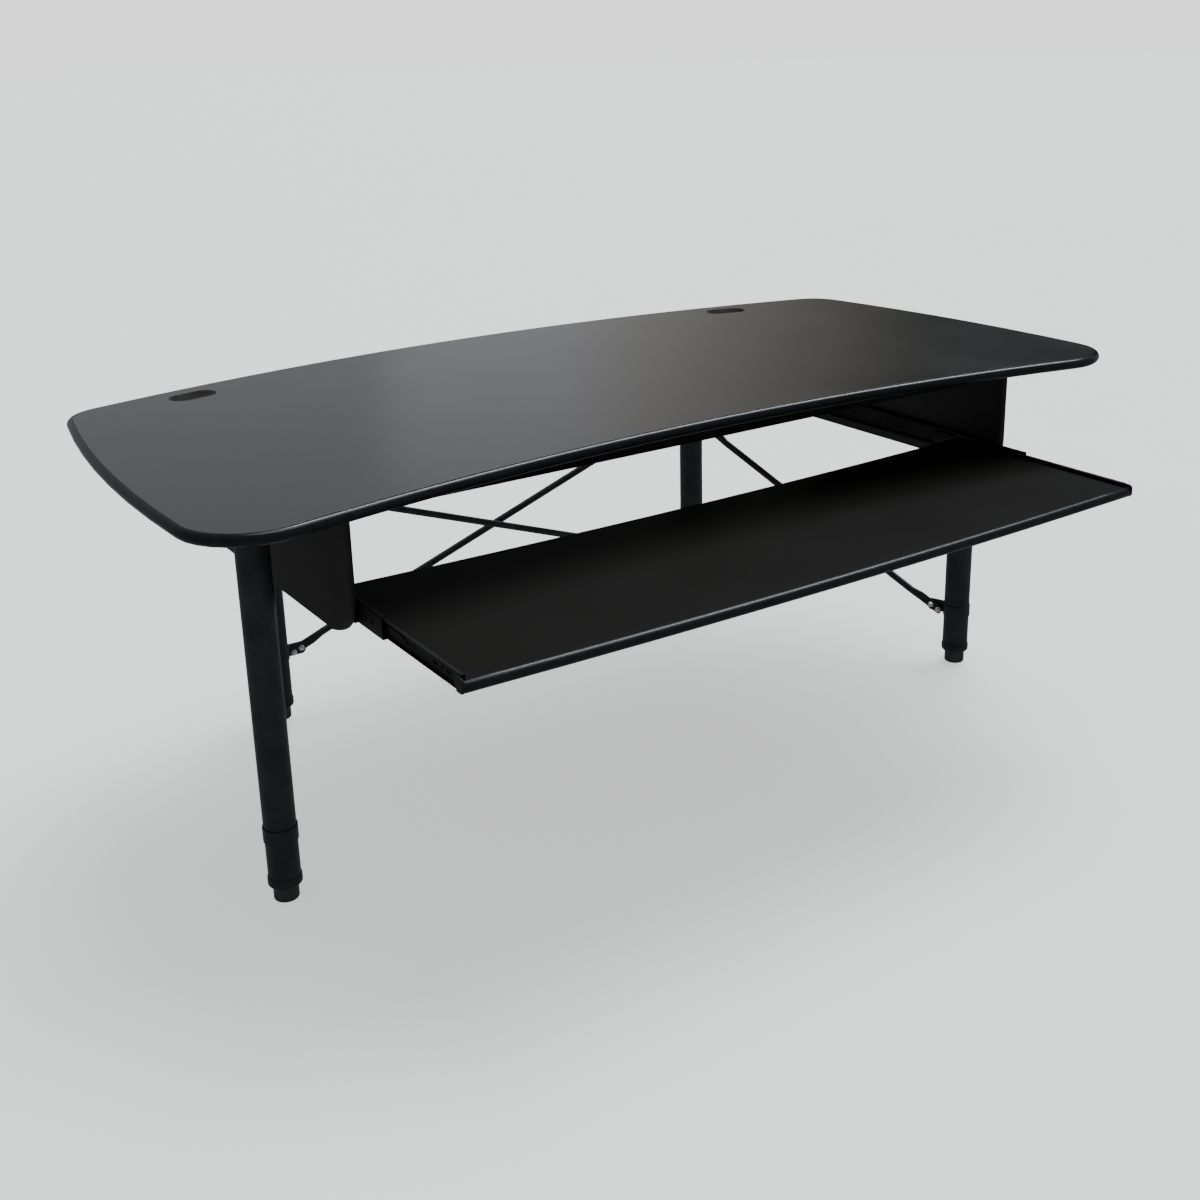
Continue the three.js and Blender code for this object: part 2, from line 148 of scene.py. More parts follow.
def choose(o, kind, test):
    """Edit mode on o, with only the faces or edges that pass the test selected."""
    pick(o)
    bpy.ops.object.mode_set(mode="EDIT")
    bpy.ops.mesh.select_mode(type=kind)
    bpy.ops.mesh.select_all(action="DESELECT")
    bpy.ops.object.mode_set(mode="OBJECT")
    mesh = o.data
    if kind == "FACE":
        for face in mesh.polygons:
            face.select = test(face)
    else:
        for edge in mesh.edges:
            a, b = (mesh.vertices[i].co for i in edge.vertices)
            edge.select = test(a, b)
    bpy.ops.object.mode_set(mode="EDIT")


def done():
    bpy.ops.object.mode_set(mode="OBJECT")


def flip(o):
    edit_all(o)
    bpy.ops.mesh.flip_normals()
    done()


def modify(o, kind, **settings):
    pick(o)
    modifier = o.modifiers.new(kind.lower(), kind)
    for key, value in settings.items():
        setattr(modifier, key, value)
    bpy.ops.object.modifier_apply(modifier=modifier.name)


def repeat(o, count, step):
    modify(
        o, "ARRAY", count=count, use_relative_offset=False, use_constant_offset=True,
        constant_offset_displace=step,
    )


def ease_edges(o, width, degrees=40, segments=2):
    """Rounds the edges that turn by more than so many degrees."""
    modify(
        o, "BEVEL", width=width, segments=segments, limit_method="ANGLE",
        angle_limit=math.radians(degrees), use_clamp_overlap=False,
    )


def smooth(o, degrees=35, flats=False):
    """Smooth shading. With flats set, a flat face keeps an even tone up to its edges."""
    pick(o)
    bpy.ops.object.shade_smooth_by_angle(angle=math.radians(degrees))
    if flats:
        modify(o, "WEIGHTED_NORMAL", keep_sharp=True, weight=100)


def settle(o):
    pick(o)
    bpy.ops.object.transform_apply(location=True, rotation=True, scale=True)


def join(name, parts):
    pick(*parts)
    if len(parts) > 1:
        bpy.ops.object.join()
    bpy.context.object.name = name
    return bpy.context.object


def cut(o, cutters):
    """Takes the cutters out of a piece."""
    tool = join("cutter", cutters)
    settle(tool)
    modify(o, "BOOLEAN", operation="DIFFERENCE", object=tool, solver="EXACT")
    bpy.data.objects.remove(tool)


def box_at(centre, size):
    bpy.ops.mesh.primitive_cube_add(size=1, location=centre, scale=size)
    settle(bpy.context.object)
    return bpy.context.object


def rod_at(centre, radius, length, axis="Z", sides=24):
    turn = {"X": (0, math.pi / 2, 0), "Y": (math.pi / 2, 0, 0), "Z": (0, 0, 0)}[axis]
    bpy.ops.mesh.primitive_cylinder_add(
        vertices=sides, radius=radius, depth=length, location=centre, rotation=turn
    )
    settle(bpy.context.object)
    return bpy.context.object


def bar_at(centre, size, radius, along="X"):
    """A bar whose four edges along one axis are rounded, such as an obround cutter."""
    bar = box_at(centre, size)
    axis = "XYZ".index(along)
    choose(bar, "EDGE", lambda a, b: abs((b - a).normalized()[axis]) > 0.9)
    just_short = 0.999  # so that two full rounds don't meet in one line
    bpy.ops.mesh.bevel(offset=radius * just_short, segments=6, affect="EDGES")
    done()
    return bar


def recut(node, name, flatten=True):
    """A copy of a solid as one welded mesh. Flatten joins the faces that lie in one plane."""
    o = bpy.data.objects.new(name, frame["nodes"][node].data.copy())
    o.data.materials.clear()
    bpy.context.scene.collection.objects.link(o)
    pick(o)
    bpy.ops.mesh.customdata_custom_splitnormals_clear()
    edit_all(o)
    bpy.ops.mesh.remove_doubles(threshold=FLAT)
    if flatten:
        bpy.ops.mesh.dissolve_limited(angle_limit=math.radians(0.5))
    done()
    return o


def placed(original, name, spots):
    """Copies of a piece modelled upright at the origin, one at each (point, direction)."""
    copies = []
    for point, direction in spots:
        copy = bpy.data.objects.new(name, original.data.copy())
        bpy.context.scene.collection.objects.link(copy)
        turn = UP.rotation_difference(Vector(direction)).to_matrix().to_4x4()
        copy.data.transform(Matrix.Translation(point) @ turn)
        copies.append(copy)
    return join(name, copies)


def mirrored(o, name):
    """The other hand of a piece, on the other side of the desk."""
    twin = bpy.data.objects.new(name, o.data.copy())
    bpy.context.scene.collection.objects.link(twin)
    twin.data.transform(Matrix.Scale(-1, 4, (1, 0, 0)))
    flip(twin)
    return twin


def fit(o, finish, node, replaces=True):
    """Gives a piece its finish and its place on the body that a solid belongs to."""
    settle(o)
    o.data.materials.clear()
    o.data.materials.append(finish)
    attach(o, frame["nodes"][node]["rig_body"])
    if replaces:
        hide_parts(node)
    return o


def middle(node):
    low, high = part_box(node)
    return (Vector(low) + Vector(high)) / 2


# ---- finishes ------------------------------------------------------------------------------


def start_finish(name, colour, roughness, metallic=0.0, shine=0.5):
    """A plain finish to build on. Shine is how strongly it mirrors, roughness how blurred."""
    finish = bpy.data.materials.new(name)
    finish.use_nodes = True
    shader = finish.node_tree.nodes["Principled BSDF"]
    shader.inputs["Specular IOR Level"].default_value = shine
    shader.inputs["Base Color"].default_value = (*colour, 1)
    shader.inputs["Roughness"].default_value = roughness
    shader.inputs["Metallic"].default_value = metallic
    finish.diffuse_color = (*colour, 1)
    return finish


def add_node(finish, kind, **settings):
    made = finish.node_tree.nodes.new(kind)
    for key, value in settings.items():
        setattr(made, key, value)
    return made


def pattern(finish, scale, detail=3.0, stretch=(1, 1, 1), kind="ShaderNodeTexNoise"):
    """A noise on object coordinates: scale is in patches to the metre."""
    links = finish.node_tree.links
    place = add_node(finish, "ShaderNodeTexCoord")
    spread = add_node(finish, "ShaderNodeMapping")
    spread.inputs["Scale"].default_value = stretch
    noise = add_node(finish, kind)
    noise.inputs["Scale"].default_value = scale
    if kind == "ShaderNodeTexNoise":
        noise.inputs["Detail"].default_value = detail
    links.new(place.outputs["Object"], spread.inputs["Vector"])
    links.new(spread.outputs["Vector"], noise.inputs["Vector"])
    return noise.outputs["Fac" if kind == "ShaderNodeTexNoise" else "Distance"]


def ranged(finish, value, low, high, start=0.3, end=0.7):
    """The pattern's values between start and end, spread from low to high."""
    spread = add_node(finish, "ShaderNodeMapRange", clamp=True)
    for key, number in (("From Min", start), ("From Max", end), ("To Min", low), ("To Max", high)):
        spread.inputs[key].default_value = number
    finish.node_tree.links.new(value, spread.inputs["Value"])
    return spread.outputs["Result"]


def tint(finish, value, colour_a, colour_b, start=0.35, end=0.65):
    """A colour that passes from a to b as the value goes from start to end."""
    ramp = add_node(finish, "ShaderNodeValToRGB")
    ramp.color_ramp.elements[0].position = start
    ramp.color_ramp.elements[0].color = (*colour_a, 1)
    ramp.color_ramp.elements[1].position = end
    ramp.color_ramp.elements[1].color = (*colour_b, 1)
    finish.node_tree.links.new(value, ramp.inputs["Fac"])
    return ramp.outputs["Color"]


def set_colour(finish, colour):
    shader = finish.node_tree.nodes["Principled BSDF"]
    finish.node_tree.links.new(colour, shader.inputs["Base Color"])


def set_gloss(finish, value):
    shader = finish.node_tree.nodes["Principled BSDF"]
    finish.node_tree.links.new(value, shader.inputs["Roughness"])


def set_relief(finish, value, depth):
    """Fine unevenness of the surface, up to this depth."""
    bump = add_node(finish, "ShaderNodeBump")
    bump.inputs["Strength"].default_value = 1.0
    bump.inputs["Distance"].default_value = depth
    shader = finish.node_tree.nodes["Principled BSDF"]
    finish.node_tree.links.new(value, bump.inputs["Height"])
    finish.node_tree.links.new(bump.outputs["Normal"], shader.inputs["Normal"])


def laminate(name, dark, light, rough_low, rough_high, shine):
    """Printed black laminate: a fine stipple with faint cloudy smudges where hands have been."""
    finish = start_finish(name, dark, rough_low, shine=shine)
    fleck = pattern(finish, 900, 2)
    set_colour(finish, tint(finish, fleck, dark, light))
    set_gloss(finish, ranged(finish, pattern(finish, 5, 4), rough_low, rough_high))
    set_relief(finish, pattern(finish, 1400, 2), 0.012 * MM)
    return finish


def moulded(name, dark, light, rough_low, rough_high, shine=0.25):
    """Extruded or moulded black plastic, slightly wavy, with fine dull scuffs."""
    finish = start_finish(name, dark, rough_low, shine=shine)
    set_colour(finish, tint(finish, pattern(finish, 60, 4), dark, light))
    set_gloss(finish, ranged(finish, pattern(finish, 180, 5), rough_low, rough_high))
    set_relief(finish, pattern(finish, 90, 2), 0.03 * MM)
    return finish


def enamel(name, dark, light, rough_low, rough_high, peel=700, shine=0.16):
    """Stoved black paint on steel, with its orange peel and dusty patches."""
    finish = start_finish(name, dark, rough_low, shine=shine)
    set_colour(finish, tint(finish, pattern(finish, 25, 5), dark, light))
    set_gloss(finish, ranged(finish, pattern(finish, 40, 5), rough_low, rough_high))
    set_relief(finish, pattern(finish, peel, 1.5), 0.04 * MM)
    return finish


def rolled_steel(name, dark, light):
    """Thin black coat on rolled strip, with streaks along the slide."""
    finish = start_finish(name, dark, 0.4, 0.1, 0.08)
    streak = pattern(finish, 500, 4, (1, 0.02, 1))
    set_colour(finish, tint(finish, streak, dark, light, 0.4, 0.75))
    set_gloss(finish, ranged(finish, streak, 0.34, 0.55))
    set_relief(finish, streak, 0.02 * MM)
    return finish


def bright_steel(name, colour, rough_low, rough_high):
    """Zinc-plated steel with faint blotches."""
    finish = start_finish(name, colour, rough_low, 1.0)
    shade = tuple(0.72 * c for c in colour)
    set_colour(finish, tint(finish, pattern(finish, 300, 4), shade, colour))
    set_gloss(finish, ranged(finish, pattern(finish, 700, 3), rough_low, rough_high))
    set_relief(finish, pattern(finish, 900, 2), 0.01 * MM)
    return finish


# Each takes its darkest and lightest colour, then its lowest and highest roughness.
TOP_LAMINATE = laminate(
    "top_laminate", (0.006, 0.0058, 0.0055), (0.0088, 0.0085, 0.008), 0.21, 0.25, 0.46
)
PANEL_LAMINATE = laminate(
    "panel_laminate", (0.0105, 0.0105, 0.0098), (0.0152, 0.0152, 0.014), 0.5, 0.58, 0.035
)
TRAY_LAMINATE = laminate(
    "tray_laminate", (0.0056, 0.0056, 0.005), (0.0082, 0.0082, 0.0073), 0.34, 0.4, 0.02
)
EDGE_COLOURS = (0.006, 0.0066, 0.0074), (0.0085, 0.009, 0.0098)
EDGING = moulded("edge_moulding", *EDGE_COLOURS, 0.15, 0.2, 0.06)
NOSE_EDGING = moulded("nose_moulding", *EDGE_COLOURS, 0.25, 0.3, 0.06)
SLOT_WALL = moulded(
    "sealed_slot_wall", (0.038, 0.037, 0.035), (0.056, 0.054, 0.051), 0.5, 0.65
)
FOOT_PLASTIC = moulded(
    "foot_plastic", (0.013, 0.0135, 0.0135), (0.019, 0.019, 0.019), 0.45, 0.6
)
STOP_PLASTIC = moulded(
    "stop_plastic", (0.007, 0.0072, 0.0072), (0.01, 0.0102, 0.0102), 0.4, 0.5, 0.06
)
BLACK_STEEL = enamel(
    "powder_coat", (0.0045, 0.0047, 0.0049), (0.0065, 0.0068, 0.007), 0.46, 0.58, shine=0.04
)
LEG_ENAMEL = enamel(
    "leg_enamel", (0.0098, 0.0103, 0.0108), (0.0142, 0.0148, 0.0156), 0.34, 0.45, 500, 0.11
)
SLIDE_STEEL = rolled_steel("slide_coat", (0.0032, 0.0033, 0.0035), (0.0075, 0.0078, 0.0082))
BRIGHT_ZINC = bright_steel("bright_zinc", (0.6, 0.61, 0.6), 0.22, 0.36)
CAGE_ZINC = bright_steel("cage_zinc", (0.22, 0.225, 0.225), 0.32, 0.44)
BALL_STEEL = bright_steel("ball_steel", (0.2, 0.2, 0.2), 0.2, 0.3)


# ---- fasteners, modelled once at the origin with their heads up ----------------------------


def hex_bolt(head_flats, head_high, washer_r):
    """A hexagon head with a chamfer and a raised disc, on a washer."""
    washer_high = 1.2 * MM
    corners_r = head_flats / math.sqrt(3)
    head = rod_at((0, 0, washer_high + head_high / 2), corners_r, head_high, sides=6)
    choose(head, "FACE", lambda f: f.normal.z > 0.9)
    bpy.ops.mesh.inset(thickness=0.7 * MM, depth=0.5 * MM)
    bpy.ops.mesh.inset(thickness=0.8 * MM, depth=0.0)
    bpy.ops.mesh.inset(thickness=0.2 * MM, depth=0.25 * MM)
    done()
    ease_edges(head, 0.15 * MM, 50)
    washer = rod_at((0, 0, washer_high / 2), washer_r, washer_high, sides=28)
    ease_edges(washer, 0.25 * MM, 50)
    bolt = join("hex_bolt_pattern", [head, washer])
    smooth(bolt, 30)
    return bolt


def nut_and_end(flats, high, thread_r):
    """A nut with the end of the bolt standing a few turns out of it."""
    nut = rod_at((0, 0, high / 2), flats / math.sqrt(3), high, sides=6)
    choose(nut, "FACE", lambda f: f.normal.z > 0.9)
    bpy.ops.mesh.inset(thickness=0.7 * MM, depth=0.5 * MM)
    done()
    ease_edges(nut, 0.15 * MM, 50)
    turns = thread(thread_r, 1.0 * MM, 3)
    turns.data.transform(Matrix.Translation((0, 0, high)))
    made = join("nut_pattern", [nut, turns])
    smooth(made, 30)
    return made


def thread(radius, pitch, count):
    """A run of thread upwards from the origin, as rings of one pitch."""
    waist = radius * 0.92
    bpy.ops.mesh.primitive_cone_add(
        vertices=24, radius1=radius, radius2=waist, depth=pitch / 2, location=(0, 0, pitch / 4)
    )
    lower = bpy.context.object
    bpy.ops.mesh.primitive_cone_add(
        vertices=24, radius1=waist, radius2=radius, depth=pitch / 2, location=(0, 0, 3 * pitch / 4)
    )
    ring = join("thread", [lower, bpy.context.object])
    settle(ring)
    repeat(ring, count, (0, 0, pitch))
    return ring


def cross_screw(radius, high):
    """A pan-head screw with a cross recess."""
    bpy.ops.mesh.primitive_uv_sphere_add(segments=24, ring_count=12, radius=radius)
    head = bpy.context.object
    head.scale.z = high / radius
    settle(head)
    rim = 0.12  # the dome is kept above this share of its height
    edit_all(head)
    bpy.ops.mesh.bisect(
        plane_co=(0, 0, high * rim), plane_no=(0, 0, 1), use_fill=True, clear_inner=True
    )
    done()
    head.data.transform(Matrix.Translation((0, 0, -high * rim)))
    reach = radius * 1.1
    wide = radius * 0.22
    for across in ((reach, wide), (wide, reach)):
        cut(head, [box_at((0, 0, high), (*across, high * 0.9))])
    smooth(head, 30)
    head.name = "cross_screw_pattern"
    return head


ROD_BOLT = hex_bolt(10 * MM, 4.0 * MM, 6.6 * MM)
ROD_NUT = nut_and_end(10 * MM, 5.0 * MM, 3 * MM)
WOOD_SCREW = cross_screw(4.6 * MM, 2.4 * MM)
FLAT_SCREW = cross_screw(4.0 * MM, 1.3 * MM)
RIVET = cross_screw(2.6 * MM, 1.2 * MM)


# ---- top -----------------------------------------------------------------------------------


def make_top():
    board = recut("tabletop_board", "writing_board")
    ease_edges(board, 0.6 * MM, 60)
    smooth(board, 30, flats=True)
    fit(board, TOP_LAMINATE, "tabletop_board")
    board.data.materials.append(SLOT_WALL)
    slots = [o["box_m"] for o in frame["record"]["physics"]["openings"] if "slot" in o["name"]]
    centres = [(Vector(low) + Vector(high)) / 2 for low, high in slots]
    slot_reach = 0.055
    for face in board.data.polygons:
        beside_slot = any((face.center.xy - c.xy).length < slot_reach for c in centres)
        if beside_slot and abs(face.normal.z) < 0.3:
            face.material_index = 1

    edge = recut("tabletop_edge", "top_edge_moulding", flatten=False)
    ease_edges(edge, 0.35 * MM, 80, 1)
    smooth(edge, 40)
    fit(edge, EDGING, "tabletop_edge")


def make_rail():
    """The rail under the top. Screws sit on its upper wall, above access holes in its lower one."""
    spacing = 0.31
    wall = 1.6 * MM
    rail = recut("front_rail", "top_stiffening_rail", flatten=False)
    ease_edges(rail, 0.4 * MM, 60, 3)
    low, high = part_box("front_rail")
    y = (low[1] + high[1]) / 2
    places = [(x * spacing, y, low[2]) for x in (-2, -1, 0, 1, 2)]
    cut(rail, [rod_at(p, 5.5 * MM, 12 * MM) for p in places])
    smooth(rail, 40, flats=True)
    fit(rail, BLACK_STEEL, "front_rail")
    upper_wall = high[2] - wall
    heads = [((x, y, upper_wall), DOWN) for x, y, _ in places]
    screws = placed(WOOD_SCREW, "rail_screws", heads)
    fit(screws, BRIGHT_ZINC, "front_rail", replaces=False)
    plugs = []
    for end in (-1, 1):
        x = end * (high[0] - 3 * MM)
        plug = bar_at((x, y, (low[2] + high[2]) / 2), (5 * MM, 21 * MM, 34 * MM), 1.5 * MM)
        plugs.append(plug)
    fit(join("rail_end_plugs", plugs), STOP_PLASTIC, "front_rail", replaces=False)


# ---- side panels ---------------------------------------------------------------------------


def make_panel(side):
    name = f"side_panel_{side}"
    panel = recut(name, f"panel_board_{side}")
    ease_edges(panel, 0.8 * MM, 60)
    smooth(panel, 35, flats=True)
    fit(panel, PANEL_LAMINATE, name)

    for end in ("front", "rear"):
        node = f"panel_bracket_{end}_{side}"
        bracket = recut(node, f"angle_bracket_{end}_{side}")
        ease_edges(bracket, 0.7 * MM, 60)
        smooth(bracket, 40, flats=True)
        fit(bracket, BLACK_STEEL, node)
        low, high = (Vector(v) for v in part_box(node))
        inwards = -1 if side == "right" else 1
        corner_x = high.x if side == "right" else low.x
        spots = []
        for y in (low.y + 14 * MM, high.y - 14 * MM):
            spots.append(((corner_x + inwards * 19 * MM, y, high.z - 3 * MM), DOWN))
            spots.append(((corner_x + inwards * 3 * MM, y, high.z - 19 * MM), (inwards, 0, 0)))
        screws = placed(WOOD_SCREW, f"bracket_screws_{end}_{side}", spots)
        fit(screws, BRIGHT_ZINC, node, replaces=False)


# ---- slides --------------------------------------------------------------------------------


def channel_sheet(name, node, sheet, curl, opens_inwards):
    """Strip folded to a channel with curled lips, as large as the right-hand solid."""
    low, high = (Vector(v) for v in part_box(node))
    web, lip = (high.x, low.x) if opens_inwards else (low.x, high.x)
    centre = (low + high) / 2
    bpy.ops.mesh.primitive_plane_add(
        size=1, location=(web, centre.y, centre.z), rotation=(0, math.pi / 2, 0)
    )
    strip = bpy.context.object
    strip.scale = (high.z - low.z, high.y - low.y, 1)
    settle(strip)
    strip.name = name
    for z, turn in ((high.z, -1), (low.z, 1)):
        choose(strip, "EDGE", lambda a, b: max(abs(a.z - z), abs(b.z - z)) < FLAT)
        bpy.ops.mesh.extrude_region_move(TRANSFORM_OT_translate={"value": (lip - web, 0, 0)})
        if curl:
            bpy.ops.mesh.extrude_region_move(TRANSFORM_OT_translate={"value": (0, 0, turn * curl)})
        done()
    ease_edges(strip, 1.6 * MM if curl else 1.0 * MM, 40, 3)
    top = max(strip.data.polygons, key=lambda f: f.center.z + f.area)
    if top.normal.z < 0:
        flip(strip)
    modify(strip, "SOLIDIFY", thickness=sheet, offset=-1, use_even_offset=True)
    return strip, web, centre.z


def pierced(strip, web, z, slots=(), holes=()):
    """Obround slots of (y, length, width) and round holes of (y, radius) through the web."""
    cutters = [
        bar_at((web, y, z), (8 * MM, length, width), width / 2) for y, length, width in slots
    ]
    cutters += [rod_at((web, y, z), radius, 8 * MM, "X", 20) for y, radius in holes]
    if cutters:
        cut(strip, cutters)
    smooth(strip, 40)
    return strip


def both_sides(right, stem, node_stem, finish, replaces=True):
    left = mirrored(right, f"{stem}_left")
    right.name = f"{stem}_right"
    fit(right, finish, f"{node_stem}_right", replaces)
    fit(left, finish, f"{node_stem}_left", replaces)


def lanced_tab(x, y, z, towards):
    """A tongue bent out of the web beside its slot, to stop the member behind it."""
    centre = (x + towards * 0.9 * MM, y, z)
    return bar_at(centre, (1.6 * MM, 30 * MM, 1.4 * MM), 0.5 * MM, "Y")


def make_outer_member():
    """The member on the side panel, with tabs, screws and a rear buffer."""
    node = "slide_outer_right"
    low, high = (Vector(v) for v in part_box(node))
    strip, web, z = channel_sheet("slide_outer", node, STRIP, 3 * MM, True)
    pitch = 125 * MM
    stations = [high.y - 232 * MM + pitch * k for k in (-2, -1, 0, 1)]
    slots = [(y, 34 * MM, 6 * MM) for y in stations]
    holes = [(y + 25 * MM, 3.2 * MM) for y in stations]
    pierced(strip, web, z, slots, holes)
    both_sides(strip, "outer_channel", "slide_outer", SLIDE_STEEL)

    inner_face = web - STRIP
    tabs = join("outer_tabs", [lanced_tab(inner_face, y, z + 4.6 * MM, -1) for y in stations])
    smooth(tabs, 40)
    both_sides(tabs, "outer_channel_tabs", "slide_outer", SLIDE_STEEL, False)

    places = [y + 62 * MM for y in stations] + [low.y + 8 * MM]
    spots = [((inner_face, y, z), (-1, 0, 0)) for y in places]
    heads = placed(FLAT_SCREW, "outer_screws", spots)
    both_sides(heads, "outer_channel_screws", "slide_outer", SLIDE_STEEL, False)

    stop = bar_at((web - 6 * MM, high.y - 6 * MM, z), (8 * MM, 8 * MM, 20 * MM), 2 * MM, "Y")
    ease_edges(stop, 0.6 * MM, 50)
    both_sides(stop, "outer_channel_buffer", "slide_outer", STOP_PLASTIC, False)


def make_middle_member():
    """The member between the two, which shows when the tray is out."""
    node = "slide_middle_right"
    low, high = (Vector(v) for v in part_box(node))
    strip, web, z = channel_sheet("slide_middle", node, STRIP, 2.4 * MM, True)
    front = low.y
    holes = [(front + d * MM, 3.4 * MM) for d in (35, 56, 74)]
    slots = [(front + d * MM, 22 * MM, 5 * MM) for d in (120, 180)]
    pierced(strip, web, z, slots, holes)
    # Two slits on each side of a tongue, near the rear end and 125 mm further forward.
    slits = [
        bar_at((web, front + d * MM, z + rise * MM), (8 * MM, 38 * MM, 2.2 * MM), 1.1 * MM)
        for d in (246, 361) for rise in (-2.5, 5)
    ]
    cut(strip, slits)
    smooth(strip, 40)
    both_sides(strip, "middle_channel", "slide_middle", SLIDE_STEEL)

    inner_face = web - STRIP
    spots = [
        ((inner_face, front + d * MM, z + rise * MM), (-1, 0, 0))
        for d in (12, 336) for rise in (-8, 8)
    ]
    heads = placed(RIVET, "middle_rivets", spots)
    both_sides(heads, "middle_channel_rivets", "slide_middle", SLIDE_STEEL, False)


def make_inner_member():
    """The member on the tray: its web is against the tray, and opens outwards."""
    node = "slide_inner_right"
    low, high = (Vector(v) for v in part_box(node))
    strip, web, z = channel_sheet("slide_inner", node, STRIP, 0, False)
    front = low.y
    slots = [(front + d * MM, 15 * MM, 5 * MM) for d in (46, 88, 175, 262, 350, 438)]
    pierced(strip, web, z, slots)
    both_sides(strip, "inner_channel", "slide_inner", SLIDE_STEEL)

    outer_face = web + STRIP
    along = (66, 155, 240, 330, 418, 480)
    spots = [((outer_face, front + d * MM, z), (1, 0, 0)) for d in along]
    heads = placed(FLAT_SCREW, "inner_screws", spots)
    both_sides(heads, "inner_channel_screws", "slide_inner", SLIDE_STEEL, False)

    block = bar_at(
        (web + 3.6 * MM, front + 13 * MM, z), (4.4 * MM, 22 * MM, 22 * MM), 2 * MM, "Y"
    )
    ease_edges(block, 0.6 * MM, 50)
    both_sides(block, "inner_channel_end_block", "slide_inner", STOP_PLASTIC, False)

    lever = bar_at(
        (web + 2.6 * MM, front + 212 * MM, z + 4 * MM), (2.4 * MM, 52 * MM, 6 * MM), 1.1 * MM, "Y"
    )
    ease_edges(lever, 0.4 * MM, 50)
    both_sides(lever, "inner_channel_release", "slide_inner", STOP_PLASTIC, False)


def make_cage(which, ball_r, ball_x, ball_z):
    """A ball cage: a pierced strip whose flanges hold a row of balls above and a row below."""
    node = f"ball_cage_{which}_right"
    low, high = (Vector(v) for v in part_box(node))
    strip, web, z = channel_sheet(f"cage_{which}", node, 0.6 * MM, 0, True)
    centre_y = (low.y + high.y) / 2
    pierced(strip, web, z, [(centre_y + d * MM, 24 * MM, 12 * MM) for d in (-40, 0, 40)])
    both_sides(strip, f"cage_strip_{which}", f"ball_cage_{which}", CAGE_ZINC)

    rows = []
    count = 10
    spacing = (high.y - low.y) / count
    for side_z in (z - ball_z, z + ball_z):
        bpy.ops.mesh.primitive_uv_sphere_add(
            segments=14, ring_count=8, radius=ball_r,
            location=(ball_x, low.y + spacing / 2, side_z),
        )
        ball = bpy.context.object
        settle(ball)
        repeat(ball, count, (0, spacing, 0))
        rows.append(ball)
    balls = join(f"balls_{which}", rows)
    smooth(balls, 180)
    both_sides(balls, f"balls_{which}", f"ball_cage_{which}", BALL_STEEL, False)


def make_slides():
    make_outer_member()
    make_middle_member()
    make_inner_member()
    outer, mid, inner = (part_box(f"slide_{m}_right") for m in ("outer", "middle", "inner"))
    z = (outer[0][2] + outer[1][2]) / 2
    clearance = 0.05 * MM
    for which, a, b in (("outer", outer, mid), ("inner", mid, inner)):
        ceiling = a[1][2] - z - STRIP
        floor = b[1][2] - z
        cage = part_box(f"ball_cage_{which}_right")
        radius = (ceiling - floor) / 2 - clearance
        make_cage(which, radius, (cage[0][0] + cage[1][0]) / 2, (ceiling + floor) / 2)


# ---- keyboard tray -------------------------------------------------------------------------


def make_tray():
    board = recut("tray_board", "keyboard_tray_board", flatten=False)
    ease_edges(board, 0.5 * MM, 60)
    smooth(board, 30, flats=True)
    fit(board, TRAY_LAMINATE, "tray_board")

    nose = recut("tray_nose", "tray_nose_moulding", flatten=False)
    ease_edges(nose, 0.4 * MM, 70, 2)
    smooth(nose, 40)
    fit(nose, NOSE_EDGING, "tray_nose")

    for side in SIDES:
        node = f"tray_end_cap_{side}"
        cap = recut(node, f"nose_end_cap_{side}")
        ease_edges(cap, 2.4 * MM, 50, 4)
        smooth(cap, 40, flats=True)
        fit(cap, STOP_PLASTIC, node)


# ---- legs ----------------------------------------------------------------------------------


def weld_bead(name, node, z, radius):
    """A wavy fillet of weld round the top of the leg tube."""
    centre = middle(node)
    bpy.ops.mesh.primitive_torus_add(
        location=(centre.x, centre.y, z), major_radius=radius, minor_radius=2.2 * MM,
        major_segments=96, minor_segments=10,
    )
    bead = bpy.context.object
    settle(bead)
    ripple = bpy.data.textures.new(name, "CLOUDS")
    ripple.noise_scale = 0.004
    modify(bead, "DISPLACE", texture=ripple, strength=0.9 * MM, mid_level=0.5)
    smooth(bead, 180)
    bead.name = name
    return bead


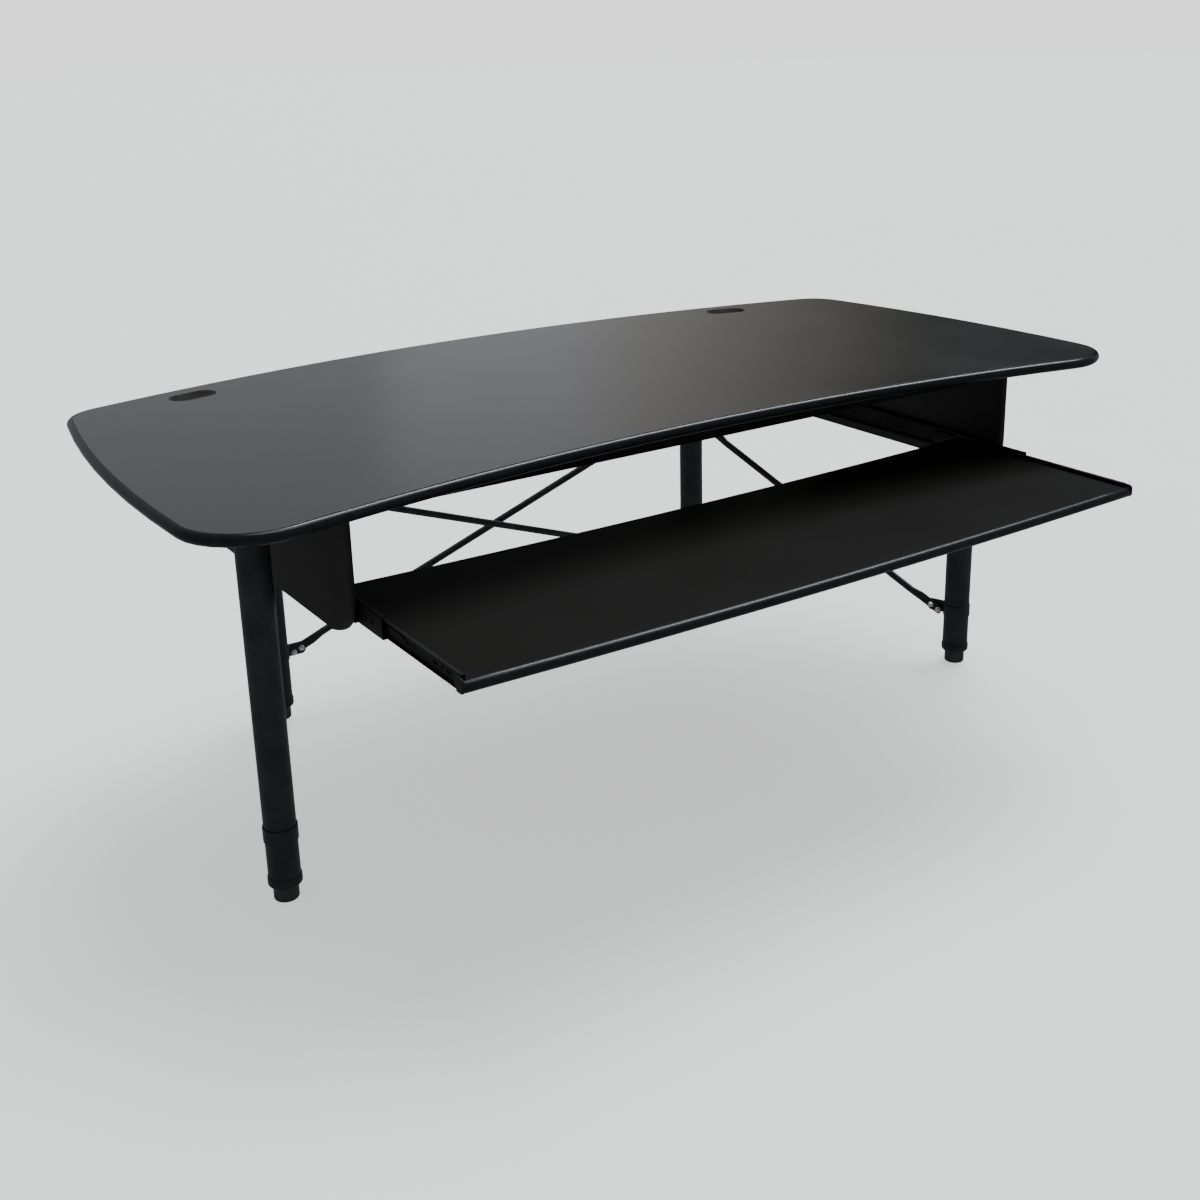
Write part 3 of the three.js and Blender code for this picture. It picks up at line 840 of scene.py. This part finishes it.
def make_foot(where):
    """A moulded levelling foot with ribs to grip, on its threaded stem."""
    node = f"levelling_foot_{where}"
    low, high = (Vector(v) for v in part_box(node))
    centre = (low + high) / 2
    radius = (high.x - low.x) / 2
    tall = 27 * MM
    sides = 72
    rib_foot, rib_head = 5 * MM, 11 * MM
    pad = rod_at((centre.x, centre.y, tall / 2), radius, tall, sides=sides)
    pad.name = f"foot_pad_{where}"
    for z in (rib_foot, rib_head, 20 * MM):
        edit_all(pad)
        bpy.ops.mesh.bisect(plane_co=(0, 0, z), plane_no=(0, 0, 1))
        done()
    choose(pad, "EDGE", lambda a, b: max(a.z, b.z) < FLAT)
    bpy.ops.mesh.bevel(offset=4 * MM, segments=4, affect="EDGES")
    done()
    choose(pad, "EDGE", lambda a, b: min(a.z, b.z) > tall - FLAT)
    bpy.ops.mesh.bevel(offset=1.5 * MM, segments=3, affect="EDGES")
    done()

    def every_other_rib(face):
        offset = face.center - centre
        step = round(math.atan2(offset.y, offset.x) / (2 * math.pi) * sides - 0.5)
        upright = abs(face.normal.z) < 0.2
        return step % 2 == 0 and rib_foot < face.center.z < rib_head and upright

    choose(pad, "FACE", every_other_rib)
    bpy.ops.mesh.inset(thickness=0.35 * MM, depth=-0.5 * MM, use_individual=True)
    done()
    pitch = 2 * MM
    stem = thread(8 * MM, pitch, int((high.z - tall) / pitch))
    stem.data.transform(Matrix.Translation((centre.x, centre.y, tall)))
    smooth(pad, 30)
    smooth(stem, 20)
    stem.name = f"foot_stem_{where}"
    fit(pad, FOOT_PLASTIC, node)
    fit(stem, BRIGHT_ZINC, node, replaces=False)


def make_leg(where):
    """A tube welded to its screwed plate, with a cup, a nut inside it and a foot below."""
    tube = recut(f"leg_tube_{where}", f"leg_pipe_{where}", flatten=False)
    smooth(tube, 40)
    fit(tube, LEG_ENAMEL, f"leg_tube_{where}")

    plate_node = f"leg_plate_{where}"
    plate = recut(plate_node, f"leg_flange_{where}")
    ease_edges(plate, 0.8 * MM, 60)
    smooth(plate, 40, flats=True)
    fit(plate, BLACK_STEEL, plate_node)

    centre = middle(f"leg_tube_{where}")
    low, high = (Vector(v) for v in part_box(plate_node))
    reach = Vector((low.x + high.x - 2 * centre.x, low.y + high.y - 2 * centre.y))
    rounds = 44 * MM  # 31 mm behind the tube's middle and 13 mm past the outer screws
    arm = high.x - low.x - rounds
    arm_x = Vector((math.copysign(arm, reach.x), 0))
    arm_y = Vector((0, math.copysign(arm, reach.y)))
    spots = []
    for offset in (arm_x, arm_y, (arm_x + arm_y) * 0.5):
        spots.append(((centre.x + offset.x, centre.y + offset.y, low.z), DOWN))
    screws = placed(WOOD_SCREW, f"flange_screws_{where}", spots)
    fit(screws, BRIGHT_ZINC, plate_node, replaces=False)
    bead_r = 29.2 * MM
    bead = weld_bead(f"flange_weld_{where}", f"leg_tube_{where}", low.z - 1.2 * MM, bead_r)
    fit(bead, LEG_ENAMEL, plate_node, replaces=False)

    ferrule = recut(f"leg_ferrule_{where}", f"leg_cup_{where}", flatten=False)
    smooth(ferrule, 35)
    fit(ferrule, LEG_ENAMEL, f"leg_ferrule_{where}")
    nut = frame["nodes"][f"foot_nut_{where}"]
    nut.data.materials.clear()
    nut.data.materials.append(BRIGHT_ZINC)
    make_foot(where)


# ---- braces --------------------------------------------------------------------------------


def make_brace(name, low_leg, high_leg):
    """A rod between two legs: at each end a split collar, two bolts through its lug, two nuts."""
    start, end = middle(f"leg_tube_{low_leg}"), middle(f"leg_tube_{high_leg}")
    heading = Vector((end.x - start.x, end.y - start.y, 0))
    span = heading.length
    heading.normalize()
    beside = Vector((-heading.y, heading.x, 0))
    lug_off = 4 * MM
    meets = 50 * MM  # from a leg's middle to the middle of the bolted joint
    bolts_at = (42 * MM, 60 * MM)
    z_low = middle(f"collar_low_{name}").z - lug_off
    z_high = middle(f"collar_high_{name}").z - lug_off
    slope = (z_high - z_low) / (span - 2 * meets)

    rod = recut(f"rod_{name}", f"brace_rod_{name}", flatten=False)
    ease_edges(rod, 0.5 * MM, 70, 1)
    smooth(rod, 40)
    fit(rod, LEG_ENAMEL, f"rod_{name}")
    on_rod = middle(f"rod_{name}") - (start + end) / 2
    rod_side = 1 if on_rod.dot(beside) > 0 else -1

    for level, base, z0, sign in (("low", start, z_low, 1), ("high", end, z_high, -1)):
        node = f"collar_{level}_{name}"
        along = heading * sign
        collar = recut(node, f"collar_band_{level}_{name}")
        ease_edges(collar, 0.7 * MM, 55)
        split = box_at((52 * MM, 0, 0), (44 * MM, 0.5 * MM, 60 * MM))
        z_mid = middle(node).z
        turn = Matrix.Rotation(math.atan2(along.y, along.x), 4, "Z")
        split.data.transform(Matrix.Translation((base.x, base.y, z_mid)) @ turn)
        cut(collar, [split])
        smooth(collar, 35, flats=True)
        fit(collar, LEG_ENAMEL, node)

        bolts, nuts = [], []
        rod_face = beside * rod_side * 7.8 * MM
        lug_face = beside * -rod_side * 2.5 * MM
        for reach in bolts_at:
            rise = (reach - meets) * slope * sign
            spot = Vector((base.x, base.y, z0 + rise)) + along * reach
            rod_in_front = rod_side * beside.dot(BOLTS_FACE) > 0
            bolt_face, nut_face = (rod_face, lug_face) if rod_in_front else (lug_face, rod_face)
            bolts.append((spot + bolt_face, bolt_face.normalized()))
            nuts.append((spot + nut_face, nut_face.normalized()))
        heads = placed(ROD_BOLT, f"rod_bolts_{level}_{name}", bolts)
        fit(heads, BRIGHT_ZINC, node, replaces=False)
        ends = placed(ROD_NUT, f"rod_nuts_{level}_{name}", nuts)
        fit(ends, BRIGHT_ZINC, node, replaces=False)


# ---- stage ---------------------------------------------------------------------------------


def glow(finish, strength):
    shader = finish.node_tree.nodes["Principled BSDF"]
    shader.inputs["Emission Color"].default_value = (1.0, 1.02, 1.01, 1)
    shader.inputs["Emission Strength"].default_value = strength


def make_stage():
    # A floor that glows a little, so that shadows on it stay faint.
    bpy.ops.mesh.primitive_plane_add(size=1, scale=(1, 1, 1))
    floor = bpy.context.object
    floor.name = "studio_floor"
    floor.scale = (2000, 2000, 1)
    settle(floor)
    paint = start_finish("floor_paint", (0.4, 0.408, 0.405), 0.85, shine=0.2)
    set_gloss(paint, ranged(paint, pattern(paint, 3, 3), 0.8, 0.95))
    glow(paint, 0.75)
    floor.data.materials.append(paint)
    floor.visible_glossy = False

    # A pale ring of wall beyond the floor, seen by the camera alone.
    bpy.ops.mesh.primitive_cylinder_add(
        vertices=96, radius=60, depth=80, end_fill_type="NOTHING"
    )
    wall = bpy.context.object
    wall.name = "studio_wall"
    settle(wall)
    wall.visible_glossy = False
    wall.visible_diffuse = False
    wall.visible_shadow = False
    wall_paint = start_finish("wall_paint", (0.02, 0.02, 0.02), 0.9, shine=0.0)
    glow(wall_paint, 1.55)
    wall.data.materials.append(wall_paint)

    # A wall beyond the right end, pale on the left and dark on the right, for the top to reflect.
    along = Vector((-0.6216, 0.7833, 0))
    bpy.ops.mesh.primitive_plane_add(
        size=1, location=(6.83, 5.65, 2.6), rotation=(math.pi / 2, 0, -0.9)
    )
    card = bpy.context.object
    card.name = "shaded_wall"
    card.scale = (9.6, 4.9, 1)
    settle(card)
    card.visible_shadow = False
    card.visible_diffuse = False
    card.visible_camera = False
    shade = start_finish("shaded_wall", (0.01, 0.01, 0.01), 0.9)
    place = add_node(shade, "ShaderNodeTexCoord")
    reach = add_node(shade, "ShaderNodeVectorMath", operation="DOT_PRODUCT")
    reach.inputs[1].default_value = along
    shade.node_tree.links.new(place.outputs["Object"], reach.inputs[0])
    fade = ranged(shade, reach.outputs["Value"], 0.0, 0.6, 0.2, 3.3)
    warmth = ranged(shade, reach.outputs["Value"], 0.0, 1.0, 0.6, 3.6)
    hue = tint(shade, warmth, (1, 0.94, 0.8), (0.97, 0.98, 1.04), 0.3, 0.95)
    surface = shade.node_tree.nodes["Principled BSDF"].inputs
    shade.node_tree.links.new(hue, surface["Emission Color"])
    shade.node_tree.links.new(fade, surface["Emission Strength"])
    card.data.materials.append(shade)


# ---- the desk ------------------------------------------------------------------------------

bpy.ops.object.select_all(action="DESELECT")
set_camera()
set_lights()
make_stage()
make_top()
make_rail()
for side in SIDES:
    make_panel(side)
make_slides()
make_tray()
for where in LEGS:
    make_leg(where)
for name, (low_leg, high_leg) in BRACES.items():
    make_brace(name, low_leg, high_leg)
for original in (ROD_BOLT, ROD_NUT, WOOD_SCREW, FLAT_SCREW, RIVET):
    bpy.data.objects.remove(original)
